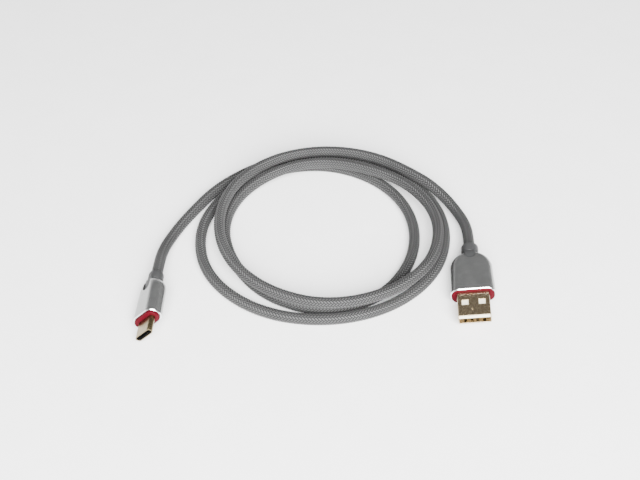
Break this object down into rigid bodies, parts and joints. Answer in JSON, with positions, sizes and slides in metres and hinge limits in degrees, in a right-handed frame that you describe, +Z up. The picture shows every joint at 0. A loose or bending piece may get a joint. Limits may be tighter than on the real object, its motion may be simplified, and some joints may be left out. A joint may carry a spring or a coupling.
{
  "type": "charging cable",
  "caption": "Braided charging cable lying in a loose coil, with a flat rectangular plug on one end and a small rounded plug on the other, each in a grey metal housing with a red insert.",
  "frame": {"origin": "on the floor, midway between the two plugs", "axes": "+Z is up; both plugs point along -Y and the coil lies behind them toward +Y; +X runs from the USB-C plug to the USB-A plug"},
  "size_m": [0.1339, 0.1045, 0.011],
  "materials": {
    "cord_braid": "fine braided yarn, matt",
    "cord_jacket": "smooth, matt",
    "foil_shield": "thin foil and fine braid",
    "wire_red": "smooth",
    "wire_white": "smooth",
    "wire_green": "smooth",
    "wire_black": "smooth",
    "copper": "bare copper strands, taken as one round core",
    "plated_shell_a": "satin gold plating",
    "plated_shell_c": "pale satin gold plating",
    "cream_plastic": "smooth moulded",
    "contact_gold": "bright gold plating",
    "spring_steel": "rolled strip",
    "red_insert": "smooth moulded",
    "grey_housing": "bead blasted and anodised, bright cut rim at the mouth",
    "grey_collar": "smooth moulded, matt",
    "dark_mould": "rough moulded fill",
    "black_plastic": "smooth moulded",
    "circuit_board": "solder mask",
    "crimp_metal": "pressed sheet"
  },
  "bodies": {
    "root": {"braided_sleeve": "cord_braid", "cord_jacket": "cord_jacket", "cord_shield": "foil_shield", "wire_red": "wire_red", "wire_white": "wire_white", "wire_green": "wire_green", "wire_black": "wire_black", "wire_cores": "copper", "usb_a_shell": "plated_shell_a", "usb_a_carrier": "cream_plastic", "usb_a_power_contacts": "contact_gold", "usb_a_data_contacts": "contact_gold", "usb_a_insert": "red_insert", "usb_a_housing": "grey_housing", "usb_a_inner_mould": "dark_mould", "usb_a_board": "circuit_board", "usb_a_crimp": "crimp_metal", "usb_a_collar": "grey_collar", "usb_c_shell": "plated_shell_c", "usb_c_insulator": "black_plastic", "usb_c_upper_contacts": "contact_gold", "usb_c_lower_contacts": "contact_gold", "usb_c_latch_springs": "spring_steel", "usb_c_insert": "red_insert", "usb_c_housing": "grey_housing", "usb_c_inner_mould": "dark_mould", "usb_c_board": "circuit_board", "usb_c_resistor": "black_plastic", "usb_c_crimp": "crimp_metal", "usb_c_collar": "grey_collar"}
  },
  "joints": []
}
